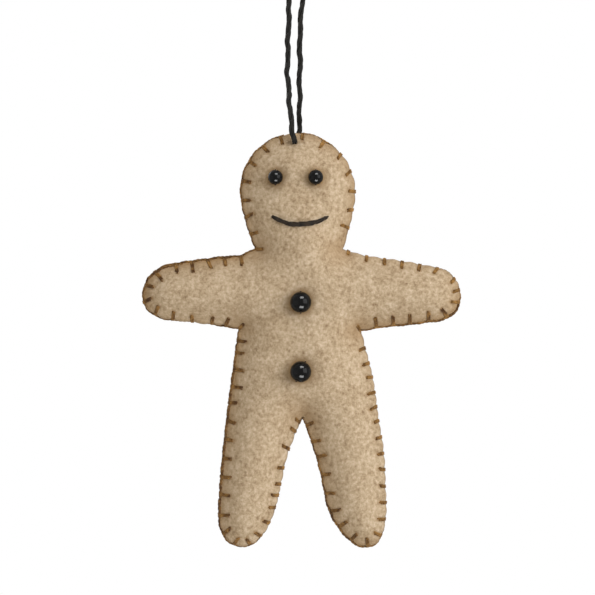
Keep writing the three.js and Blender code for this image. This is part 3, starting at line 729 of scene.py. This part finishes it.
def makePanel(name, node, isFront):
    sheet, faces = sheetMesh
    side = 1 if isFront else -1
    depth = pillowDepth(sheet)
    beside, fromEdge = nearest(sheet, feltEdge)
    fromEdge[fromEdge < feltSet["onEdge"]] = 0

    # inner and outer face of the felt: flat along the sewn rim, then rising
    lift = depth ** 2 / (depth + feltSet["flatRim"])
    inner = feltSet["seamGap"] + feltSet["rise"] * (1 - np.exp(-lift / feltSet["crown"]))
    if isFront:
        inner += plumpness(sheet[:, 0], sheet[:, 1]) * np.minimum(1, fromEdge / feltSet["plump"]["in"])
    inner[fromEdge == 0] = feltSet["seamGap"]
    turn = 1 - np.minimum(fromEdge / feltSet["edgeRound"], 1)
    outer = inner + feltSet["thickness"] * np.sqrt(1 - turn ** 2)

    # the sewing pulls it in, and the pressure of the filling blows it up in between
    dent, hold = sewnDents(sheet, isFront)
    hold[fromEdge < feltSet["rimHold"]] = 1
    height = outer - dent * np.minimum(1, fromEdge / feltSet["dentIn"])
    moved = np.zeros((len(sheet), 3))
    height = height - feltSet["slack"] * np.minimum(1, fromEdge / feltSet["slackIn"]) * (hold == 0)
    moved = blowUp(sheet, faces, height, hold)
    front = np.column_stack([sheet[:, 0], -height, sheet[:, 1]]) + moved
    if isFront:
        front = clearOfBeads(front)

    # outside, then a reversed copy of it as the inside, closed along the rim
    bm = bmesh.new()
    # each point's painted shade and edge stain, for the felt's colour
    wearAndShade = bm.verts.layers.float.new("wearAndShade")
    verts = [bm.verts.new((x, side * y, z)) for x, y, z in front]
    for v, amount in zip(verts, feltWearAndShade(sheet, beside, fromEdge, isFront)):
        v[wearAndShade] = amount
    for f in faces:
        bm.faces.new([verts[i] for i in (f if isFront else f[::-1])])
    outside = BVHTree.FromBMesh(bm)
    wall = dict(zip(verts, np.maximum(0.0, (height - inner) * (fromEdge > 0))))
    copy = bmesh.ops.duplicate(bm, geom=bm.verts[:] + bm.edges[:] + bm.faces[:])
    for old, new in copy["vert_map"].items():
        if old in wall:
            new.co.y += side * wall[old]
    bmesh.ops.reverse_faces(bm, faces=[f for f in copy["geom"] if isinstance(f, bmesh.types.BMFace)])
    bmesh.ops.remove_doubles(bm, verts=bm.verts, dist=1e-4)
    bmesh.ops.recalc_face_normals(bm, faces=bm.faces)
    bmesh.ops.scale(bm, verts=bm.verts, vec=(mm, mm, mm))
    panel = newObject(name, bm)
    panel.data.materials.append(felt)
    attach(panel, "figure")
    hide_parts(node)
    print(name, len(panel.data.polygons), "faces")
    return outside


sheetMesh = makeSheet()
frontSurface = makePanel("front_felt", "front_panel", True)
backSurface = makePanel("back_felt", "back_panel", False)


def surfaceAt(x, z, side):
    # y of the felt's outside, side -1 in front and 1 behind, looked for from well outside it
    surface = frontSurface if side < 0 else backSurface
    hit = surface.ray_cast(Vector((x, side * feltSet["lookFrom"], z)), Vector((0, -side, 0)))[0]
    return None if hit is None else hit.y


# Threads and cord: plies that wind round each other along a path

windSet = {"waves": (3.1, 1.3), "outward": 0.25, "across": (0.3, 0.9, 0.2), "curveSteps": 12}


def runAlong(path):
    return np.r_[0, np.cumsum(np.linalg.norm(np.diff(path, axis=0), axis=1))]


def throughPoints(points, step):
    # a smooth curve through the points, walked in even steps
    points = np.asarray(points, float)
    curve = np.vstack([curveThrough(points, windSet["curveSteps"]), points[-1:]])
    run = runAlong(curve)
    at = np.linspace(0, run[-1], max(4, int(run[-1] / step) + 1))
    return np.column_stack([np.interp(at, run, curve[:, k]) for k in range(3)])


def windRound(path, count, reach, pitch, phase=0.0, wander=0.0):
    # paths of the plies, each turning round the middle one with its own small wander
    along = np.gradient(path, axis=0)
    along /= np.linalg.norm(along, axis=1)[:, None]
    side = np.empty_like(path)
    first = np.cross(along[0], windSet["across"])
    side[0] = first / np.linalg.norm(first)
    for i in range(1, len(path)):
        s = side[i - 1] - along[i] * (side[i - 1] @ along[i])
        side[i] = s / np.linalg.norm(s)
    other = np.cross(along, side)
    run = runAlong(path)
    plies = []
    for k in range(count):
        drift = sum(wander * np.sin(run / wave + chance.uniform(*anyTurn)) for wave in windSet["waves"])
        turn = phase + 2 * math.pi * (run / pitch + k / count) + drift
        out = reach * (1 + windSet["outward"] * drift)
        plies.append(path + (side * np.cos(turn)[:, None] + other * np.sin(turn)[:, None]) * out[:, None])
    return plies


def spinThread(name, plies, material):
    # plies: a path in mm, its radius and how dark its painted shade is, one number or one for every point
    data = bpy.data.curves.new(name, "CURVE")
    data.dimensions = "3D"
    data.bevel_depth = mm
    data.bevel_resolution = 1
    shade = []
    for path, thick, dark in plies:
        shade.append(np.broadcast_to(np.asarray(dark, float), len(path)))
        spline = data.splines.new("POLY")
        spline.points.add(len(path) - 1)
        spline.points.foreach_set("co", np.column_stack([path * mm, np.ones(len(path))]).ravel())
        spline.points.foreach_set("radius", np.broadcast_to(np.asarray(thick, float), len(path)).copy())
    curve = bpy.data.objects.new(name, data)
    scene.collection.objects.link(curve)
    bpy.context.view_layer.update()
    mesh = bpy.data.meshes.new_from_object(curve.evaluated_get(bpy.context.evaluated_depsgraph_get()))
    bpy.data.objects.remove(curve)
    shade = np.concatenate(shade)
    wearAndShade = mesh.attributes.new("wearAndShade", "FLOAT", "POINT")
    wearAndShade.data.foreach_set("value", np.repeat(shade, len(mesh.vertices) // len(shade)).astype(np.float32))
    bm = bmesh.new()
    bm.from_mesh(mesh)
    bmesh.ops.holes_fill(bm, edges=[e for e in bm.edges if e.is_boundary], sides=0)
    piece = newObject(name, bm)
    piece.data.materials.append(material)
    return piece


# Blanket stitch: a bight over the edge at every stitch, and a thread that runs along the edge

seamSet = {
    # first and last stitch of each length of thread
    "right_seam": {"first": 8, "last": 52, "node": "right_seam_thread"},
    "left_seam": {"first": 53, "last": 96, "node": "left_seam_thread"},
}
runSet = {
    "every": 0.125, "pastEnd": 0.3, "step": 0.25,  # the first two in stitches
    # how it lies: on the face from this lean, drawn in from the edge, bowed out between stitches
    "onFace": 0.5, "inFront": 0.3, "inOnFace": 0.1, "inBehind": 0.8, "out": 0.02, "bow": 0.16,
    "across": 1.15, "waver": 0.08, "waverPace": 5.3, "sink": 0.05,
    # plies: size and reach in radii of a strand, and how much more of each on the front
    # the last number is painted shade on the edge thread where it lies over the face
    "plies": 3, "ply": 0.75, "plyFront": 0.65, "reach": 0.8, "reachFront": 0.5, "shadeOnFace": 0.3,
    "pitch": 3.4, "wander": 0.25,
}


def bightStrand(i, strand):
    # one strand, from its foot in front over the edge to its foot behind, fanned out at the edge
    look = stitchSet
    at = sewnIndex[i % stitchCount]
    edgePoint, foot = legs[i % stitchCount]
    tangent = tangentAt(at)
    halves = []
    for side in (-1, 1):
        half = []
        reach = chance.uniform(*look["reach"])
        for share in look["shares"]:
            spread = look["fan"] + (look["foot"] - look["fan"]) * min(share, 1)
            x, z = edgePoint + (foot - edgePoint) * share * reach + tangent * strand * spread
            y = surfaceAt(x, z, side)
            y = side * look["offFelt"] if y is None else y
            half.append((x, y + side * look["strand"] * look["rest"], z))
        x, y, z = half[0]
        half[0] = (x, y - side * look["sink"], z)
        x, z = edgePoint + outward[at] * look["turnOut"] + tangent * strand * look["fan"]
        half.append((x, side * look["turnSide"], z))
        halves.append(half)
    x, z = edgePoint + outward[at] * look["overEdge"] + tangent * strand * look["fan"]
    return halves[0] + [(x, 0, z)] + halves[1][::-1]


def edgeRun(first, last):
    # along the seam, lying over to the front or tucked behind as the lean says
    look = runSet
    path = []
    for u in np.arange(first, last, look["every"]):
        at = int(round(u * perStitch)) % edgeCount
        onFace = max(0.0, lean[at] - look["onFace"]) / (1 - look["onFace"])
        tuck = look["inFront"] + look["inOnFace"] * onFace if lean[at] > 0 else look["inBehind"]
        x, z = cutEdge[at] + outward[at] * (look["out"] + look["bow"] * between[at] - tuck * abs(lean[at]))
        y = -look["across"] * lean[at] + look["waver"] * math.sin(u * look["waverPace"])
        face = surfaceAt(x, z, -1)
        if face is not None:
            y += onFace * (face - look["sink"] - y)
        path.append((x, y, z))
    return path


def makeSeam(name, seam):
    look, radius = runSet, stitchSet["strand"]
    first, last = (sewnPlace[i % stitchCount] + i - i % stitchCount for i in (seam["first"], seam["last"]))
    ends = (first - look["pastEnd"], last + look["pastEnd"])
    line = throughPoints(edgeRun(*ends), look["step"])
    over = np.interp(np.linspace(*ends, len(line)), np.arange(2 * edgeCount) / perStitch,
                     np.tile(np.maximum(lean, 0), 2))
    reach = radius * (look["reach"] + look["reachFront"] * over)
    thick = radius * (look["ply"] + look["plyFront"] * over)
    # painted shade on the run where it lies on the face
    plies = [(path, thick, look["shadeOnFace"] * over)
             for path in windRound(line, look["plies"], reach, look["pitch"], 0, look["wander"])]
    for i in range(seam["first"], seam["last"] + 1):
        # painted shade at both feet, where the strands go into the felt
        deep = stitchSet["deep"] + stitchSet["deeper"] * max(0.0, lean[sewnIndex[i % stitchCount]])
        for strand in (-1, 0, 1):
            line = throughPoints(bightStrand(i, strand), stitchSet["step"])
            run = np.linspace(0, 1, len(line))
            dark = deep * np.exp(-np.minimum(run, 1 - run) / stitchSet["deepReach"])
            swell = 1 + stitchSet["swell"] * np.sin(stitchSet["swells"] * run + chance.uniform(*anyTurn))
            plies.append((line, radius * chance.uniform(*stitchSet["strandSpread"]) * swell, dark))
    piece = spinThread(name, plies, brownThread)
    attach(piece, "figure")
    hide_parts(seam["node"])
    print(name, len(piece.data.polygons), "faces")


for name, seam in seamSet.items():
    makeSeam(name, seam)


# Mouth: back stitches in stranded thread, each dipping into the felt at its ends

def makeMouth():
    look = mouthSet
    count, over = look["stitches"], look["overlap"] / 2 / look["halfWidth"]
    plies = []
    for k in range(count):
        first = -1 + 2 * k / count - (over if k else 0)
        last = -1 + 2 * (k + 1) / count + (over if k < count - 1 else 0)
        path = []
        for share in np.linspace(first, last, look["points"]):
            x, z = mouthAt(share)
            rise = math.sin(math.pi * (share - first) / (last - first))
            y = surfaceAt(x, z, -1) + look["dip"] - look["arch"] * rise ** look["archShape"]
            path.append((x, y, z + look["apart"] * (-1) ** k))
        line = throughPoints(path, look["step"])
        swell = np.sin(np.linspace(look["tip"], math.pi - look["tip"], len(line)))
        ends = look["endSize"] if k in (0, count - 1) else 1.0
        reach = look["thread"] * look["plyReach"] * ends
        for ply in windRound(line, look["plies"], reach, look["pitch"], k, look["wander"]):
            plies.append((ply, look["thread"] * look["ply"] * ends * swell ** look["taper"], 0))
    mouth = spinThread("mouth_stitches", plies, blackThread)
    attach(mouth, "figure")
    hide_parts("mouth_thread")
    print("mouth", len(mouth.data.polygons), "faces")


makeMouth()


# Beads: a round profile with a softened bore, spun round the bore, on a thread through the felt

beadShape = {"lip": 0.1, "lipStart": 0.3, "lipPoints": 5, "points": 22, "around": 40}  # lip in radii
tieSet = {
    "stand": -0.05, "plies": 2, "ply": 0.12, "plyReach": 0.09, "pitch": 1.5, "step": 0.2,
    "knotTurns": 2, "knotPoints": 22, "knotReach": 0.34, "knotIn": 0.75, "knotRise": 0.02,
    # along the bore in radii, and mm behind the bead's centre or, in the first line, mm short of the knot
    "leaves": (-0.55, 1.3), "turns": 1.5, "ends": (0.4, 1.2),
    "bore": [(-1.0, 1.0), (-1.0, 0.35), (-0.8, 0), (-0.4, 0), (0, 0), (0.4, 0), (0.8, 0), (1.0, 0.35),
             (1.0, 1.0)],
}


def makeBeadPiece(name, bead):
    shape = beadShape
    radius, bore = bead["radius"], bead["bore"]
    lip = radius * shape["lip"]
    start = math.asin((bore + lip) / radius)
    outside = [(radius * math.sin(a), radius * math.cos(a))
               for a in np.linspace(start, math.pi - start, shape["points"])]
    lipMiddle = outside[0][1] - lip
    lipCurve = [(bore + lip - lip * math.sin(a), lipMiddle + lip * math.cos(a))
                for a in np.linspace(shape["lipStart"], math.pi / 2, shape["lipPoints"])]
    profile = lipCurve[::-1] + outside + [(x, -z) for x, z in lipCurve]
    bm = bmesh.new()
    verts = [bm.verts.new((x, 0, z)) for x, z in profile]
    edges = [bm.edges.new(pair) for pair in zip(verts, verts[1:] + verts[:1])]
    bmesh.ops.spin(bm, geom=verts + edges, cent=(0, 0, 0), axis=(0, 0, 1), angle=2 * math.pi,
                   steps=shape["around"], use_merge=True)
    bmesh.ops.remove_doubles(bm, verts=bm.verts, dist=1e-4)
    bmesh.ops.recalc_face_normals(bm, faces=bm.faces)
    bmesh.ops.rotate(bm, verts=bm.verts, cent=(0, 0, 0),
                     matrix=Matrix.Rotation(math.radians(bead["lean"]), 3, "Y"))
    bmesh.ops.translate(bm, verts=bm.verts, vec=bead["centre"])
    bmesh.ops.scale(bm, verts=bm.verts, vec=(mm, mm, mm))
    piece = newObject(name + "_polished", bm)
    piece.data.materials.append(blackAcrylic)
    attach(piece, name)
    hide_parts(name + "_bead")


def makeBeadThread(name, bead):
    # from a knot in the filling through the felt, along the bore, and back
    tie = tieSet
    centre = bead["centre"]
    tilt = math.radians(bead["lean"])
    up = Vector((math.sin(tilt), 0, math.cos(tilt)))
    behind = Vector((0, 1, 0))
    step = bead["radius"] + tie["stand"]
    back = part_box(name + "_thread")[1].y / mm - centre.y  # how far behind the bead's centre the knot lies
    path = []
    for turn in np.linspace(0, 2 * math.pi * tie["knotTurns"], tie["knotPoints"]):
        aside, rise = tie["knotReach"] * math.cos(turn), tie["knotReach"] * math.sin(turn)
        path.append(centre + Vector((aside, back - tie["knotIn"] + tie["knotRise"] * turn, rise)))
    (leaveAt, leaveIn), (endAt, endIn) = tie["leaves"], tie["ends"]
    route = [(leaveAt, back - leaveIn), (-1.0, back - tie["turns"])] + tie["bore"]
    route += [(1.0, back - tie["turns"]), (endAt, back - endIn)]
    path += [centre + up * (u * step) + behind * v for u, v in route]
    line = throughPoints([tuple(p) for p in path], tie["step"])
    plies = windRound(line, tie["plies"], tie["plyReach"], tie["pitch"])
    piece = spinThread(name + "_tie", [(ply, tie["ply"], 0) for ply in plies], blackThread)
    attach(piece, "figure")
    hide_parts(name + "_thread")


for name, bead in beadSet.items():
    makeBeadPiece(name, bead)
    makeBeadThread(name, bead)
print("beads threaded")


# Cord: two strands that leave the head in front and behind and meet in the knot over the hang point

cordSet = {
    "diameter": 1.5, "bend": (-45.5, -52.5), "step": 0.4,
    "plies": 3, "plyReach": 0.38, "pitch": 13.0, "wander": 0.14,
    "strands": 3, "strandReach": 0.16, "strandPitch": 9.0, "strandWander": 0.12, "strand": 0.29,
    # small kinks, none at the ends: height, over what length, two wave lengths, and the second one's share
    "kink": 0.14, "kinkOver": 75, "kinkLong": 9, "kinkShort": 4.3, "kinkShare": 0.6, "stillEnds": 8,
    "front": [(-0.4, 0, -68), (-0.4, -1.1, -68), (-0.4, -2.1, -68), (-0.59, -4.22, -67.12),
              (-1.05, -5.1, -65), (-1.3, -4.8, -62.4), (-1.65, -3.7, -59), (-1.85, -2.1, -55.5),
              (-2.1, -0.7, -52), (-2.3, 0, -49), (-2.3, 0, -45), (-2.1, 0, -37), (-1.9, 0, -29),
              (-2.4, 0, -23), (-3.6, 0, -16), (-3.9, 0, -10), (-2.6, 0, -4.5), (-0.95, 0, 0),
              (-0.75, 0, 1.6)],
    "back": [(-0.4, 0, -68), (-0.4, 1.1, -68), (-0.4, 2.1, -68), (-0.05, 4.22, -67.12), (0.8, 5.1, -65),
             (0.9, 4.8, -62.4), (0.95, 3.7, -59), (1, 2.1, -55.5), (1, 0.7, -52),
             (1, 0, -49), (1.1, 0, -45), (1.1, 0, -37), (1.8, 0, -29), (2.6, 0, -23), (3.7, 0, -16),
             (3.9, 0, -10), (2.6, 0, -4.5), (0.95, 0, 0), (0.75, 0, 1.6)],
}
knotSet = {
    # an overhand knot of both strands, each with its own way in and its own tail
    "wayIn": [(0.75, 0, 1.2), (0.75, 0, 1.9)],
    "tail": [(0.75, 0, 6.6), (1.1, 0, 9), (1.7, 0.2, 11.6), (2.1, 0.1, 14.0)],
    "middle": 3.55, "reach": 0.46, "lobe": 3, "depth": 1.1, "open": 0.55, "points": 30,
    "aside": 0.3, "above": 0.25, "step": 0.35,
}


def cordPlies(route, phase):
    look = cordSet
    plies = []
    for ply in windRound(route, look["plies"], look["plyReach"], look["pitch"], phase, look["wander"]):
        for strand in windRound(ply, look["strands"], look["strandReach"], look["strandPitch"], phase * 2,
                                look["strandWander"]):
            plies.append((strand, look["strand"], 0))
    return plies


def makeCord(name, route, nodes, phase):
    look = cordSet
    line = throughPoints(route, look["step"])
    run = np.linspace(0, 1, len(line))
    free = np.minimum(1, look["stillEnds"] * np.minimum(run, 1 - run)) * look["kink"]
    slow = np.sin(look["kinkOver"] * run / look["kinkLong"] * 2 * math.pi + phase)
    quick = np.sin(look["kinkOver"] * run / look["kinkShort"] * 2 * math.pi)
    line[:, 0] += free * (slow + look["kinkShare"] * quick)
    piece = spinThread(name, cordPlies(line, phase), waxedCord)
    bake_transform(piece)
    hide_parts(*nodes)
    length = np.linalg.norm(np.diff(line, axis=0), axis=1).sum()
    print(name, "is", round(float(length), 1), "mm long")
    return piece, line, float(length)


def makeKnot():
    look = knotSet
    plies = []
    for side in (-1, 1):
        path = [(side * x, y, z) for x, y, z in look["wayIn"]]
        for t in np.linspace(look["open"], 2 * math.pi - look["open"], look["points"]):
            x = (math.sin(t) + look["lobe"] * math.sin(2 * t)) * look["reach"]
            z = (math.cos(t) - look["lobe"] * math.cos(2 * t)) * look["reach"]
            y = -math.sin(3 * t) * look["depth"]
            path.append((x + side * look["aside"], y, look["middle"] + z + side * look["above"]))
        path += [(side * x, y, z) for x, y, z in look["tail"]]
        plies += cordPlies(throughPoints(path, look["step"]), side)
    piece = spinThread("cord_overhand_knot", plies, waxedCord)
    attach(piece, "hanger")
    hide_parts("cord_knot")
    return piece


knot = makeKnot()
for name, route, nodes, phase in (
        ("cord_front", cordSet["front"], ("cord_upper_left", "cord_lower"), 0.4),
        ("cord_back", cordSet["back"], ("cord_upper_right", "cord_lower"), 2.1)):
    piece, line, length = makeCord(name, route, nodes, phase)


# Filling: loose fluff with a lumpy skin, in the felt

fillingSet = {
    "voxel": 0.9, "smoothings": 4, "smoothing": 0.5, "fill": 0.55,
    "lump": 4.5, "lumpHeight": 0.45, "fluff": 1.4, "fluffHeight": 0.22, "drawIn": 0.25,
    "fluffLevels": 3, "levelFade": 1.0, "levelFiner": 2.0,
}


def makeTuft(node):
    look = fillingSet
    bm = bmesh.new()
    bm.from_mesh(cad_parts[node].data)
    bmesh.ops.remove_doubles(bm, verts=bm.verts, dist=1e-6)
    tuft = newObject(node.replace("stuffing", "filling"), bm)
    remesh = tuft.modifiers.new("even", "REMESH")
    remesh.mode = "VOXEL"
    remesh.voxel_size = look["voxel"] * mm
    bpy.context.view_layer.update()
    mesh = bpy.data.meshes.new_from_object(tuft.evaluated_get(bpy.context.evaluated_depsgraph_get()))
    tuft.modifiers.clear()
    bm = bmesh.new()
    bm.from_mesh(mesh)
    for _ in range(look["smoothings"]):
        bmesh.ops.smooth_vert(bm, verts=bm.verts, factor=look["smoothing"],
                              use_axis_x=True, use_axis_y=True, use_axis_z=True)
    bm.normal_update()
    for v in bm.verts:
        at = v.co / mm
        lump = noise.noise(at / look["lump"]) * look["lumpHeight"]
        fluff = noise.fractal(at / look["fluff"], look["levelFade"], look["levelFiner"], look["fluffLevels"])
        v.co += v.normal * (lump + fluff * look["fluffHeight"] - look["drawIn"]) * mm
        v.co.y -= plumpness(at.x, at.z) * min(1, max(0, -at.y / feltSet["plump"]["in"])) * mm
    bm.to_mesh(tuft.data)
    bm.free()
    tuft.data.polygons.foreach_set("use_smooth", [True] * len(tuft.data.polygons))
    tuft.data.materials.append(filling)
    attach(tuft, "figure")
    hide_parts(node)


for node in ("torso", "head", "left_arm", "right_arm", "left_leg", "right_leg"):
    makeTuft(node + "_stuffing")
print("filling made")
